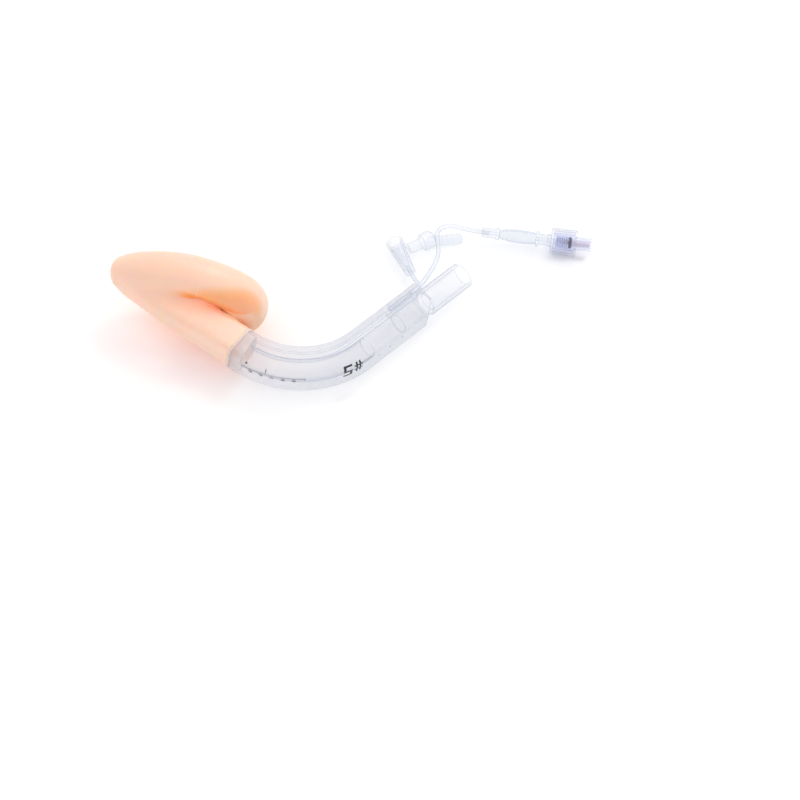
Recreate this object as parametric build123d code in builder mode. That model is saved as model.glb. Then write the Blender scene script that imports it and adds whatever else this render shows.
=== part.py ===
from build123d import *
import math
import os

# ---------------------------------------------------------------------------
# Laryngeal mask airway, adult size 5.  Millimetres, +Z up.
#
# The airway lies on its side on a table.  Its plane of symmetry is nearly
# level: the straight end of the tube and the connector touch the table, and
# the plane rises towards the mask, which is wider than the tube.
#
# Local axes of the airway (origin: centre of the tube's machine end):
#   a  along the straight end of the tube, positive towards the connector
#   b  in the plane of symmetry, positive towards the front (bowl) side
#   c  sideways, up from the table
# ---------------------------------------------------------------------------

os.makedirs("parts", exist_ok=True)

# resting pose ---------------------------------------------------------------
AZIMUTH = 43.6          # heading of the straight end of the tube on the table
TILT = 10.8             # rise of the plane of symmetry towards the mask
ORIGIN = (70.95, 1.15, 11.38)   # centre of the tube's machine end

# airway tube ----------------------------------------------------------------
TUBE_B = 19.6           # section, front to back
TUBE_C = 21.2           # section, side to side
TUBE_R = 5.2            # section corner radius
TUBE_L = 47.0           # straight length at the machine end
BEND_R = 51.0           # centreline radius of the bend
BEND_DEG = 80.0         # angle of the bend up to the mask
LUMEN_D = 11.4          # main lumen, front to back
LUMEN_W = 13.4          # main lumen, side to side
LUMEN_B = -1.3          # main lumen centre
SMALL_D = 2.45          # bores for the two small lines at the machine end
SMALL_B = 6.9           # their distance to the front of the tube centre
SMALL_C = 4.3           # and to each side
SAMPLE_D = 2.2          # sampling lumen along the tube
INFL_D = 1.4            # inflation lumen along the tube
LINE_IN = 20.0          # how deep the two small lines are bonded in
BEVEL_A = 6.2           # bevel at the back of the machine end, along the tube
BEVEL_B = 5.8           # and across it

# connector and bite block ---------------------------------------------------
CONN_OD = 15.0
CONN_ID = 11.6
CONN_OUT = 28.6         # length outside the tube
STEM_L = 20.0           # length of the stem inside the tube
STEM_ID = 9.4
BITE_L = 23.0           # bite block behind the stem
BITE_ID = 9.8

# mask -----------------------------------------------------------------------
SPIGOT_L = 6.0          # neck of the mask that sits in the tube
SPIGOT_WALL = 1.5       # wall of the tube around it
MASK_HEEL = (-76.8, 57.05)  # centre of the cuff's section at the heel (a, b)
MASK_DEG = 122.4        # direction of the mask's long axis, from +a
CUFF_S = 72.8           # heel centre to tip centre
CUFF_WALL = 1.4
CUFF_U = 17.0           # half width of the ring's centreline
CUFF_EGG = 0.17         # how much wider the ring is towards the heel
CUFF_R = [(0, 12.6, 10.2), (80, 11.4, 8.9), (180, 5.6, 4.7)]   # angle, half height, half width
BOWL_WALL = 2.2
BOWL_IN = 3.0           # how far the cavity's edge lies inside the ring's centreline
# neck of the mask: centre (a, b), heading, size front to back, size side to side
NECK = [
    (-99.6, 53.0, 76.0, 19.4, 21.2),
    (-103.0, 65.0, 71.0, 19.0, 21.2),
    (-107.4, 77.6, 68.0, 17.6, 20.4),
    (-111.6, 88.8, 74.0, 14.2, 18.6),
    (-114.8, 99.4, 82.0, 10.4, 16.4),
    (-116.6, 108.0, 86.0, 6.4, 13.6),
]
# back of the bowl: distance from the heel, depth behind the ring's centreline
DOME = [(5.0, 10.5), (12.0, 12.4), (20.0, 14.4), (30.0, 16.0), (40.0, 16.4),
        (50.0, 14.8), (58.0, 12.6), (64.0, 10.2), (68.8, 7.0)]

# inflation line and pilot assembly ------------------------------------------
LINE_OD = 2.45
PILOT = (104.05, 53.35, 7.25)     # start of the front sleeve
PILOT_DEG = -8.9               # heading of the assembly on the table
SHROUD_D = 14.5                # the widest piece, which rests on the table
VALVE_TRAVEL = 1.8

# monitoring port ------------------------------------------------------------
FUNNEL_IN = (64.2, 24.71, 6.6)      # centre of the narrow end
FUNNEL_OUT = (54.75, 47.84, 5.6)      # centre of the mouth
PLUG = (63.15, 43.15, 5.0)             # free end of the plug's stub
PLUG_DEG = 31.0                      # heading of the plug


# ---------------------------------------------------------------------------
# placement helpers
# ---------------------------------------------------------------------------
_az = math.radians(AZIMUTH)
_ti = math.radians(TILT)
E1 = Vector(math.cos(_az), math.sin(_az), 0)
E2 = Vector(-math.sin(_az) * math.cos(_ti), math.cos(_az) * math.cos(_ti), math.sin(_ti))
E3 = E1.cross(E2)
ORG = Vector(*ORIGIN)


def at(a, b, c=0.0):
    """Point of the airway's local axes."""
    return ORG + E1 * a + E2 * b + E3 * c


def along(a, b, c=0.0):
    """Direction of the airway's local axes."""
    return E1 * a + E2 * b + E3 * c


def section_plane(a, b, deg, c=0.0):
    """Plane across the tube: its x runs to the front, its y sideways and up,
    and its normal points back along the tube towards the connector."""
    t = math.radians(deg)
    return Plane(origin=at(a, b, c),
                 x_dir=along(math.sin(t), math.cos(t)),
                 z_dir=along(math.cos(t), -math.sin(t)))


def bend_plane(deg):
    """Plane across the bend at an angle from its start."""
    t = math.radians(deg)
    return section_plane(-TUBE_L - BEND_R * math.sin(t), BEND_R * (1 - math.cos(t)), deg)


END_PLANE = section_plane(0, 0, 0)
BEND_AXIS = Axis(at(-TUBE_L, BEND_R), E3 * -1)
SYMMETRY = Plane(origin=ORG, x_dir=E1, z_dir=E3)

_md = math.radians(MASK_DEG)
M_DIR = along(math.cos(_md), math.sin(_md))          # heel to tip
N_DIR = along(math.sin(_md), -math.cos(_md))         # towards the bowl's opening
MASK = Plane(origin=at(*MASK_HEEL), x_dir=M_DIR, z_dir=N_DIR)   # y is sideways


def flat(point, direction):
    """Plane at a point of the part's frame, across a direction, with its y upwards."""
    d = Vector(*direction).normalized()
    side = d.cross(Vector(0, 0, 1)).normalized()
    return Plane(origin=Vector(*point), x_dir=side, z_dir=d)


def corner_radii(points):
    """Largest tidy bend at each corner of a route."""
    radii = []
    for p, q, r in zip(points, points[1:], points[2:]):
        turn = math.radians((q - p).get_angle(r - q))
        radii.append(0.45 * min((q - p).length, (r - q).length) / math.tan(turn / 2))
    return radii


def route_length(points, radii):
    """Length of straight runs joined by arcs."""
    total = sum((q - p).length for p, q in zip(points, points[1:]))
    for (p, q, r), radius in zip(zip(points, points[1:], points[2:]), radii):
        turn = math.radians((q - p).get_angle(r - q))
        total += radius * (turn - 2 * math.tan(turn / 2))
    return total


def mask_station(s, v=0.0):
    """Plane across the mask: its x is sideways, its y points to the bowl's opening."""
    return Plane(origin=MASK.from_local_coords(Vector(s, 0, v)),
                 x_dir=E3, z_dir=E3.cross(N_DIR))


# ---------------------------------------------------------------------------
# airway tube: a thick clear moulding with a main lumen at the back and two
# small lumens at the front
# ---------------------------------------------------------------------------
SPIGOT_DEG = math.degrees(SPIGOT_L / BEND_R)

with BuildPart() as airway_tube:
    with BuildSketch(END_PLANE):
        RectangleRounded(TUBE_B, TUBE_C, TUBE_R)
    extrude(amount=-TUBE_L)
    with BuildSketch(bend_plane(0)):
        RectangleRounded(TUBE_B, TUBE_C, TUBE_R)
    revolve(axis=BEND_AXIS, revolution_arc=BEND_DEG)
    # main lumen
    with BuildSketch(END_PLANE):
        with Locations((LUMEN_B, 0)):
            SlotOverall(LUMEN_W, LUMEN_D, rotation=90)
    extrude(amount=-TUBE_L, mode=Mode.SUBTRACT)
    with BuildSketch(bend_plane(0)):
        with Locations((LUMEN_B, 0)):
            SlotOverall(LUMEN_W, LUMEN_D, rotation=90)
    revolve(axis=BEND_AXIS, revolution_arc=BEND_DEG, mode=Mode.SUBTRACT)
    # bores for the two small lines, then the lumens that carry on from them
    with BuildSketch(END_PLANE):
        with Locations((SMALL_B, SMALL_C), (SMALL_B, -SMALL_C)):
            Circle(SMALL_D / 2)
    extrude(amount=-LINE_IN, mode=Mode.SUBTRACT)
    with BuildSketch(END_PLANE):
        with Locations((SMALL_B, SMALL_C)):
            Circle(INFL_D / 2)
        with Locations((SMALL_B, -SMALL_C)):
            Circle(SAMPLE_D / 2)
    extrude(amount=-TUBE_L, mode=Mode.SUBTRACT)
    with BuildSketch(bend_plane(0)):
        with Locations((SMALL_B, SMALL_C)):
            Circle(INFL_D / 2)
        with Locations((SMALL_B, -SMALL_C)):
            Circle(SAMPLE_D / 2)
    revolve(axis=BEND_AXIS, revolution_arc=BEND_DEG, mode=Mode.SUBTRACT)
    # pocket for the mask's spigot
    with BuildSketch(bend_plane(BEND_DEG - SPIGOT_DEG)):
        RectangleRounded(TUBE_B - 2 * SPIGOT_WALL, TUBE_C - 2 * SPIGOT_WALL, TUBE_R - SPIGOT_WALL)
    revolve(axis=BEND_AXIS, revolution_arc=SPIGOT_DEG, mode=Mode.SUBTRACT)
    # bevel at the back of the machine end
    with BuildSketch(SYMMETRY):
        with BuildLine():
            Polyline((1, -TUBE_B / 2 + BEVEL_B + BEVEL_B / BEVEL_A), (1, -TUBE_B / 2 - 2),
                     (-BEVEL_A - 2 * BEVEL_A / BEVEL_B, -TUBE_B / 2 - 2), close=True)
        make_face()
    extrude(amount=TUBE_C, both=True, mode=Mode.SUBTRACT)
airway_tube.part.label = "airway_tube"
export_step(airway_tube.part, "parts/airway_tube.step")

# ---------------------------------------------------------------------------
# cuff: the inflated ring around the bowl
# ---------------------------------------------------------------------------
def ring_section(deg):
    """Plane across the cuff's ring, from the heel (0) round one side to the tip (180)."""
    t = math.radians(deg)
    s = CUFF_S / 2 * (1 - math.cos(t))
    u = CUFF_U * math.sin(t) * (1 + CUFF_EGG * math.cos(t))
    ds = CUFF_S / 2 * math.sin(t)
    du = CUFF_U * (math.cos(t) * (1 + CUFF_EGG * math.cos(t)) - CUFF_EGG * math.sin(t) ** 2)
    tangent = M_DIR * ds + E3 * du
    return Plane(origin=MASK.from_local_coords(Vector(s, u, 0)), x_dir=N_DIR, z_dir=tangent)


def ring_radii(deg):
    """Half height (towards the bowl's opening) and half width of the cuff's section."""
    for (d0, v0, w0), (d1, v1, w1) in zip(CUFF_R, CUFF_R[1:]):
        if abs(deg) <= d1 or d1 == CUFF_R[-1][0]:
            d = min(abs(deg), 360 - abs(deg))
            k = (d - d0) / (d1 - d0)
            k = max(0.0, min(1.0, k))
            k = k * k * (3 - 2 * k)
            return v0 + (v1 - v0) * k, w0 + (w1 - w0) * k


# the inflation lumen turns from the tube towards the heel of the cuff
_end = bend_plane(BEND_DEG)
_from = _end.from_local_coords(Vector(SMALL_B, SMALL_C, 0))
_to = at(MASK_HEEL[0] - 4.0, MASK_HEEL[1] - 4.0, SMALL_C)
INFL_PLANE = Plane(origin=_from, z_dir=_to - _from)
INFL_REACH = (_to - _from).length

RING_STEPS = [-14, 0, 14, 32, 54, 78, 102, 124, 144, 162, 180, 196]

with BuildPart() as cuff:
    for deg in RING_STEPS:
        with BuildSketch(ring_section(deg)):
            Ellipse(*ring_radii(deg))
    loft()
    for deg in RING_STEPS:
        rv, rw = ring_radii(deg)
        with BuildSketch(ring_section(deg)):
            Ellipse(rv - CUFF_WALL, rw - CUFF_WALL)
    loft(mode=Mode.SUBTRACT)
    split(bisect_by=SYMMETRY, keep=Keep.TOP)
    mirror(about=SYMMETRY)
    # end of the inflation lumen
    with BuildSketch(INFL_PLANE):
        Circle(INFL_D / 2)
    extrude(amount=INFL_REACH, mode=Mode.SUBTRACT)
cuff.part.label = "cuff"
export_step(cuff.part, "parts/cuff.step")

# ---------------------------------------------------------------------------
# mask bowl: spigot and neck that carry the tube on, and the back of the bowl
# ---------------------------------------------------------------------------
def neck_plane(a, b, deg):
    return section_plane(a, b, deg)


def ring_half_width(s):
    t = math.acos(max(-1.0, min(1.0, 1 - 2 * s / CUFF_S)))
    return CUFF_U * math.sin(t) * (1 + CUFF_EGG * math.cos(t))


with BuildPart() as mask_bowl:
    # neck
    with BuildSketch(bend_plane(BEND_DEG)):
        RectangleRounded(TUBE_B, TUBE_C, TUBE_R)
    for a, b, deg, depth, width in NECK:
        with BuildSketch(neck_plane(a, b, deg)):
            RectangleRounded(depth, width, depth * 0.3)
    loft()
    # back of the bowl
    for s_, depth in DOME:
        with BuildSketch(mask_station(s_)):
            Ellipse(ring_half_width(s_), depth)
    loft()
    split(bisect_by=MASK, keep=Keep.BOTTOM)
    # cavity
    for s_, depth in DOME[2:-1]:
        with BuildSketch(mask_station(s_)):
            Ellipse(ring_half_width(s_) - BOWL_IN, depth - BOWL_WALL)
    loft(mode=Mode.SUBTRACT)
    # room for the cuff
    for deg in RING_STEPS:
        with BuildSketch(ring_section(deg)):
            Ellipse(*ring_radii(deg))
    loft(mode=Mode.SUBTRACT)
    split(bisect_by=SYMMETRY, keep=Keep.TOP)
    mirror(about=SYMMETRY)
    # spigot in the tube's pocket
    with BuildSketch(bend_plane(BEND_DEG - SPIGOT_DEG)):
        RectangleRounded(TUBE_B - 2 * SPIGOT_WALL, TUBE_C - 2 * SPIGOT_WALL, TUBE_R - SPIGOT_WALL)
    revolve(axis=BEND_AXIS, revolution_arc=SPIGOT_DEG)
    # lumens
    with BuildSketch(bend_plane(BEND_DEG - SPIGOT_DEG)):
        with Locations((LUMEN_B, 0)):
            SlotOverall(LUMEN_W, LUMEN_D, rotation=90)
        with Locations((SMALL_B, SMALL_C)):
            Circle(INFL_D / 2)
        with Locations((SMALL_B, -SMALL_C)):
            Circle(SAMPLE_D / 2)
    revolve(axis=BEND_AXIS, revolution_arc=SPIGOT_DEG, mode=Mode.SUBTRACT)
    with BuildSketch(bend_plane(BEND_DEG)):
        with Locations((LUMEN_B, 0)):
            SlotOverall(LUMEN_W, LUMEN_D, rotation=90)
        with Locations((SMALL_B, -SMALL_C)):
            Circle(SAMPLE_D / 2)
    extrude(amount=-32, mode=Mode.SUBTRACT)
    with BuildSketch(INFL_PLANE):
        Circle(INFL_D / 2)
    extrude(amount=INFL_REACH, mode=Mode.SUBTRACT)
mask_bowl.part.label = "mask_bowl"
export_step(mask_bowl.part, "parts/mask_bowl.step")

# ---------------------------------------------------------------------------
# connector: 15 mm male, with a stem bonded in the tube
# ---------------------------------------------------------------------------
with BuildPart() as connector_15mm:
    with BuildSketch(section_plane(CONN_OUT, LUMEN_B, 0)):
        Circle(CONN_OD / 2)
    extrude(amount=-CONN_OUT)
    with BuildSketch(section_plane(0, LUMEN_B, 0)):
        SlotOverall(LUMEN_W, LUMEN_D, rotation=90)
    extrude(amount=-STEM_L)
    with BuildSketch(section_plane(CONN_OUT, LUMEN_B, 0)):
        Circle(CONN_ID / 2)
    extrude(amount=-CONN_OUT + 2, mode=Mode.SUBTRACT)
    with BuildSketch(section_plane(CONN_OUT, LUMEN_B, 0)):
        Circle(STEM_ID / 2)
    extrude(amount=-CONN_OUT - STEM_L, mode=Mode.SUBTRACT)
connector_15mm.part.label = "connector_15mm"
export_step(connector_15mm.part, "parts/connector_15mm.step")

# bite block: a sleeve behind the stem that keeps the lumen open
with BuildPart() as bite_block:
    with BuildSketch(section_plane(-STEM_L, LUMEN_B, 0)):
        SlotOverall(LUMEN_W, LUMEN_D, rotation=90)
        Circle(BITE_ID / 2, mode=Mode.SUBTRACT)
    extrude(amount=-BITE_L)
bite_block.part.label = "bite_block"
export_step(bite_block.part, "parts/bite_block.step")

# ---------------------------------------------------------------------------
# pilot assembly: everything on one axis, t from the start of the front sleeve
# ---------------------------------------------------------------------------
_pd = math.radians(PILOT_DEG)
PILOT_DIR = Vector(math.cos(_pd), math.sin(_pd), 0)
PILOT_SIDE = PILOT_DIR.cross(Vector(0, 0, 1))
PILOT_AXIS_PLANE = Plane(origin=Vector(*PILOT), x_dir=PILOT_DIR, z_dir=Vector(0, 0, 1))


def pilot_plane(t):
    return Plane(origin=Vector(*PILOT) + PILOT_DIR * t, x_dir=PILOT_SIDE, z_dir=PILOT_DIR)


def half_section(points):
    """Half section (t, radius) of a piece turned about the pilot's axis."""
    with BuildSketch(PILOT_AXIS_PLANE) as half:
        with BuildLine():
            Polyline(*points, close=True)
        make_face()
    return half.sketch


PILOT_AXIS = Axis(Vector(*PILOT), PILOT_DIR)


with BuildPart() as pilot_front_sleeve:
    revolve(profiles=half_section([(0, LINE_OD / 2), (0, 2.1), (1.2, 2.6), (7.9, 2.7), (8.0, 3.3), (9.7, 3.3),
            (9.9, 2.4), (9.9, 1.0), (5.0, 1.0), (5.0, LINE_OD / 2)]), axis=PILOT_AXIS)
pilot_front_sleeve.part.label = "pilot_front_sleeve"
export_step(pilot_front_sleeve.part, "parts/pilot_front_sleeve.step")

# pilot balloon: a flat thin bag, stations t, half thickness, half height
BALLOON = [(9.9, 2.2, 2.4), (12.4, 2.5, 3.6), (16.0, 2.8, 4.4), (20.5, 3.0, 4.7),
           (25.0, 3.0, 4.5), (28.5, 3.0, 3.9), (30.4, 3.0, 3.3)]
BAG_WALL = 0.5
with BuildPart() as pilot_balloon:
    for t, r0, r1 in BALLOON:
        with BuildSketch(pilot_plane(t)):
            Ellipse(r0, r1)
    loft()
    for t, r0, r1 in BALLOON:
        with BuildSketch(pilot_plane(t)):
            Ellipse(r0 - BAG_WALL, r1 - BAG_WALL)
    loft(mode=Mode.SUBTRACT)
pilot_balloon.part.label = "pilot_balloon"
export_step(pilot_balloon.part, "parts/pilot_balloon.step")

with BuildPart() as pilot_rear_sleeve:
    revolve(profiles=half_section([(30.4, 1.2), (30.4, 4.2), (31.9, 4.2), (32.0, 3.0), (37.0, 2.9), (37.1, 3.4),
            (38.9, 3.4), (38.9, 1.2)]), axis=PILOT_AXIS)
pilot_rear_sleeve.part.label = "pilot_rear_sleeve"
export_step(pilot_rear_sleeve.part, "parts/pilot_rear_sleeve.step")

with BuildPart() as valve_shroud:
    revolve(profiles=half_section([(38.9, 1.2), (38.9, 6.9), (39.3, SHROUD_D / 2), (53.0, SHROUD_D / 2), (53.4, 6.9),
            (53.4, 3.8), (52.2, 3.8), (52.2, 6.1), (40.3, 6.1), (40.3, 1.2)]), axis=PILOT_AXIS)
valve_shroud.part.label = "valve_shroud"
export_step(valve_shroud.part, "parts/valve_shroud.step")

with BuildPart() as valve_body:
    revolve(profiles=half_section([(40.3, 1.2), (40.3, 4.7), (52.1, 4.7), (52.1, 3.75), (60.2, 3.25), (60.2, 3.8),
            (61.4, 3.8), (61.4, 2.1), (51.2, 2.1), (50.4, 3.5), (41.6, 3.5), (41.6, 1.2)]), axis=PILOT_AXIS)
valve_body.part.label = "valve_body"
export_step(valve_body.part, "parts/valve_body.step")

with BuildPart() as valve_seal:
    revolve(profiles=half_section([(48.9, 1.1), (48.9, 3.1), (49.9, 3.1), (50.5, 2.45), (50.5, 1.1)]), axis=PILOT_AXIS)
valve_seal.part.label = "valve_seal"
export_step(valve_seal.part, "parts/valve_seal.step")

with BuildPart() as valve_plunger:
    revolve(profiles=half_section([(44.6, 0), (44.6, 1.1), (50.5, 1.1), (50.6, 1.45), (60.2, 1.45), (60.6, 1.0), (60.6, 0)]), axis=PILOT_AXIS)
valve_plunger.part.label = "valve_plunger"
export_step(valve_plunger.part, "parts/valve_plunger.step")

# spring envelope: from the floor of the valve body to the seal
with BuildPart() as valve_spring:
    revolve(profiles=half_section([(41.6, 1.9), (41.6, 2.9), (48.9, 2.9), (48.9, 1.9)]), axis=PILOT_AXIS)
valve_spring.part.label = "valve_spring"
export_step(valve_spring.part, "parts/valve_spring.step")

# ---------------------------------------------------------------------------
# inflation line: bonded root in the tube, then the free line to the sleeve
# ---------------------------------------------------------------------------
LINE_FREE = -4.0        # where the bonded root ends, inside the tube
with BuildPart() as inflation_line_root:
    with BuildSketch(section_plane(LINE_FREE, SMALL_B, 0, SMALL_C)):
        Circle(LINE_OD / 2)
        Circle(INFL_D / 2, mode=Mode.SUBTRACT)
    extrude(amount=-LINE_IN - LINE_FREE)
inflation_line_root.part.label = "inflation_line_root"
export_step(inflation_line_root.part, "parts/inflation_line_root.step")

LINE_ROUTE = [
    at(LINE_FREE, SMALL_B, SMALL_C),
    at(3.6, SMALL_B, SMALL_C),
    Vector(75.55, 21.65, 13.3),
    Vector(79.55, 32.65, 12.0),
    Vector(79.25, 42.35, 11.4),
    Vector(78.45, 51.65, 10.6),
    Vector(85.15, 57.15, 9.3),
    Vector(*PILOT) - PILOT_DIR * 5.5,
    Vector(*PILOT) + PILOT_DIR * 4.0,
]
line_radii = corner_radii(LINE_ROUTE)
with BuildPart() as inflation_line:
    with BuildLine():
        FilletPolyline(*LINE_ROUTE, radius=line_radii)
    with BuildSketch(Plane(origin=LINE_ROUTE[0], z_dir=LINE_ROUTE[1] - LINE_ROUTE[0])):
        Circle(LINE_OD / 2)
    sweep()
inflation_line.part.label = "inflation_line"
export_step(inflation_line.part, "parts/inflation_line.step")
print("inflation_line radii", [round(r, 1) for r in line_radii])
print("inflation_line route", [tuple(round(c, 2) for c in p) for p in LINE_ROUTE])
line_length = route_length(LINE_ROUTE, line_radii)
print("inflation_line length", round(line_length, 1), "volume", round(inflation_line.part.volume, 1),
      "section x length", round(line_length * math.pi * LINE_OD ** 2 / 4, 1))

# ---------------------------------------------------------------------------
# monitoring port: a short line, a funnel socket and its plug
# ---------------------------------------------------------------------------
FUNNEL_DIR = (Vector(*FUNNEL_OUT) - Vector(*FUNNEL_IN)).normalized()
FUNNEL_L = (Vector(*FUNNEL_OUT) - Vector(*FUNNEL_IN)).length
PORT_ROUTE = [
    at(-LINE_IN, SMALL_B, -SMALL_C),
    at(3.9, SMALL_B, -SMALL_C),
    Vector(68.35, 15.95, 8.0),
    Vector(*FUNNEL_IN) - FUNNEL_DIR * 3.5,
    Vector(*FUNNEL_IN) + FUNNEL_DIR * 5.0,
]
port_radii = corner_radii(PORT_ROUTE)
with BuildPart() as port_line:
    with BuildLine():
        FilletPolyline(*PORT_ROUTE, radius=port_radii)
    with BuildSketch(Plane(origin=PORT_ROUTE[0], z_dir=PORT_ROUTE[1] - PORT_ROUTE[0])):
        Circle(SMALL_D / 2)
        Circle(0.75, mode=Mode.SUBTRACT)
    sweep()
port_line.part.label = "port_line"
export_step(port_line.part, "parts/port_line.step")
print("port_line radii", [round(r, 1) for r in port_radii], "length",
      round(route_length(PORT_ROUTE, port_radii), 1))

with BuildPart() as port_funnel:
    with BuildSketch(Plane(origin=Vector(*FUNNEL_IN), x_dir=FUNNEL_DIR,
                           z_dir=FUNNEL_DIR.cross(Vector(0, 0, 1)).cross(FUNNEL_DIR))):
        with BuildLine():
            Polyline((0, SMALL_D / 2), (0, 2.3), (0.6, 2.9), (FUNNEL_L - 2.2, 4.6), (FUNNEL_L - 2.0, 5.0),
                     (FUNNEL_L - 0.4, 5.0), (FUNNEL_L, 4.7), (FUNNEL_L, 4.0), (7.0, 1.9),
                     (5.0, 1.0), (5.0, SMALL_D / 2), close=True)
        make_face()
    revolve(axis=Axis(Vector(*FUNNEL_IN), FUNNEL_DIR))
port_funnel.part.label = "port_funnel"
export_step(port_funnel.part, "parts/port_funnel.step")

_ud = math.radians(PLUG_DEG)
PLUG_DIR = Vector(math.cos(_ud), math.sin(_ud), 0)
with BuildPart() as port_plug:
    # stub, collar and domed head, turned about the plug's axis
    with BuildSketch(Plane(origin=Vector(*PLUG), x_dir=PLUG_DIR, z_dir=Vector(0, 0, 1))):
        with BuildLine():
            Polyline((0, 0), (0, 2.7), (0.7, 3.1), (8.6, 3.2), (8.9, 4.9), (13.0, 5.0))
            ThreePointArc((13.0, 5.0), (15.4, 3.9), (16.6, 0))
            Line((16.6, 0), (0, 0))
        make_face()
    revolve(axis=Axis(Vector(*PLUG), PLUG_DIR))
    # tab, with ribs across it
    with BuildSketch(Plane(origin=(83.15, 52.05, 0.7), x_dir=(math.cos(math.radians(7)), math.sin(math.radians(7)), 0),
                           z_dir=(0, 0, 1))):
        RectangleRounded(20.0, 6.2, 2.4)
    extrude(amount=2.0)
    with BuildSketch(Plane(origin=(85.85, 52.35, 2.4), x_dir=(math.cos(math.radians(7)), math.sin(math.radians(7)), 0),
                           z_dir=(0, 0, 1))):
        with GridLocations(3.0, 1, 4, 1):
            Rectangle(1.0, 5.0)
    extrude(amount=0.8)
    # strap to the funnel
    with BuildSketch(Plane.XY.offset(4.3)):
        with BuildLine():
            Polyline((59.95, 47.05), (60.75, 44.35), (65.35, 43.55), (64.55, 46.05), close=True)
        make_face()
    extrude(amount=1.4)
    add(port_funnel.part, mode=Mode.SUBTRACT)
port_plug.part.label = "port_plug"
export_step(port_plug.part, "parts/port_plug.step")
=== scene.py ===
import bpy
import bmesh
import math
import numpy as np
from mathutils import Vector, Matrix


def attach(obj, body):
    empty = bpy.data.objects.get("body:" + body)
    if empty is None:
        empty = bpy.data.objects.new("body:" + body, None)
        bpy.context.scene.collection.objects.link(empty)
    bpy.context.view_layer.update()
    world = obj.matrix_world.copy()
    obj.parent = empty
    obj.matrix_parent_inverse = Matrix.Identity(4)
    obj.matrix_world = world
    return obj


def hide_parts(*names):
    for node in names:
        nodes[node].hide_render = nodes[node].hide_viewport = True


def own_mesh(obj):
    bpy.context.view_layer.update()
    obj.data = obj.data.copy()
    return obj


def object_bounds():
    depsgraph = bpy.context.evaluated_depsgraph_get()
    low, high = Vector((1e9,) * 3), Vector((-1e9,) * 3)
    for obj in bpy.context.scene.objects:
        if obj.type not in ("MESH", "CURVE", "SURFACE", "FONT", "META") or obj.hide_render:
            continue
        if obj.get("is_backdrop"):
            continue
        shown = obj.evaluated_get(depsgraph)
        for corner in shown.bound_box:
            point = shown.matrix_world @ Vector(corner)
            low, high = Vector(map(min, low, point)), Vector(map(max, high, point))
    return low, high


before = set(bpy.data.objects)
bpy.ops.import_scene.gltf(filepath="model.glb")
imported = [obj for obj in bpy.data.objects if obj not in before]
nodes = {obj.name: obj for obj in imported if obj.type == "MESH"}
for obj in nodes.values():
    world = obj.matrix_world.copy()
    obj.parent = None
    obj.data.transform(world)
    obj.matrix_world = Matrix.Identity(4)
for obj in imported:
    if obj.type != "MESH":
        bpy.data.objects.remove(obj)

cad_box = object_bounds()
MM = 0.001

# ---------------------------------------------------------------------------
# camera: looks down at 55 degrees, along +Y
# ---------------------------------------------------------------------------
cam_data = bpy.data.cameras.new("camera")
cam = bpy.data.objects.new("camera", cam_data)
bpy.context.scene.collection.objects.link(cam)
cam_data.sensor_width = 36.0
cam_data.lens = 36.0 * 1.83 * 1300 / 800
cam_data.clip_start = 0.05
cam_data.clip_end = 20
cam.location = (0.0581, -0.7885, 1.0455)
cam.rotation_euler = (math.radians(35.0), 0, 0)
bpy.context.scene.camera = cam
bpy.context.scene.view_settings.view_transform = "Standard"
bpy.context.scene.cycles.transparent_max_bounces = 32

# ---------------------------------------------------------------------------
# local axes of the airway, as the solids have them
# ---------------------------------------------------------------------------
AZ = math.radians(43.6)
TI = math.radians(10.8)
E1 = Vector((math.cos(AZ), math.sin(AZ), 0))
E2 = Vector((-math.sin(AZ) * math.cos(TI), math.cos(AZ) * math.cos(TI), math.sin(TI)))
E3 = E1.cross(E2)
ORG = Vector((70.95, 1.15, 11.38))
MD = math.radians(122.4)
M_DIR = E1 * math.cos(MD) + E2 * math.sin(MD)
N_DIR = E1 * math.sin(MD) - E2 * math.cos(MD)
HEEL = ORG + E1 * -76.8 + E2 * 57.05


def at(a, b, c=0.0):
    return ORG + E1 * a + E2 * b + E3 * c


# ---------------------------------------------------------------------------
# node helpers
# ---------------------------------------------------------------------------
def material(name):
    m = bpy.data.materials.new(name)
    m.use_nodes = True
    nt = m.node_tree
    nt.nodes.clear()
    out = nt.nodes.new("ShaderNodeOutputMaterial")
    return m, nt, out


def node(nt, kind, **values):
    n = nt.nodes.new(kind)
    for key, v in values.items():
        if key.startswith("i_"):
            n.inputs[key[2:].replace("_", " ")].default_value = v
        else:
            setattr(n, key, v)
    return n


def noise(nt, scale, detail=3.0, rough=0.5, distort=0.0):
    tc = nt.nodes.new("ShaderNodeTexCoord")
    n = nt.nodes.new("ShaderNodeTexNoise")
    n.inputs["Scale"].default_value = scale
    n.inputs["Detail"].default_value = detail
    n.inputs["Roughness"].default_value = rough
    n.inputs["Distortion"].default_value = distort
    nt.links.new(tc.outputs["Object"], n.inputs["Vector"])
    return n


def ramp(nt, fac, stops):
    r = nt.nodes.new("ShaderNodeValToRGB")
    e = r.color_ramp.elements
    e[0].position, e[0].color = stops[0][0], (*stops[0][1], 1)
    e[1].position, e[1].color = stops[-1][0], (*stops[-1][1], 1)
    for p, c in stops[1:-1]:
        x = e.new(p)
        x.color = (*c, 1)
    nt.links.new(fac, r.inputs["Fac"])
    return r


def bump(nt, height, strength, distance):
    b = nt.nodes.new("ShaderNodeBump")
    b.inputs["Strength"].default_value = strength
    b.inputs["Distance"].default_value = distance
    nt.links.new(height, b.inputs["Height"])
    return b


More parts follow.
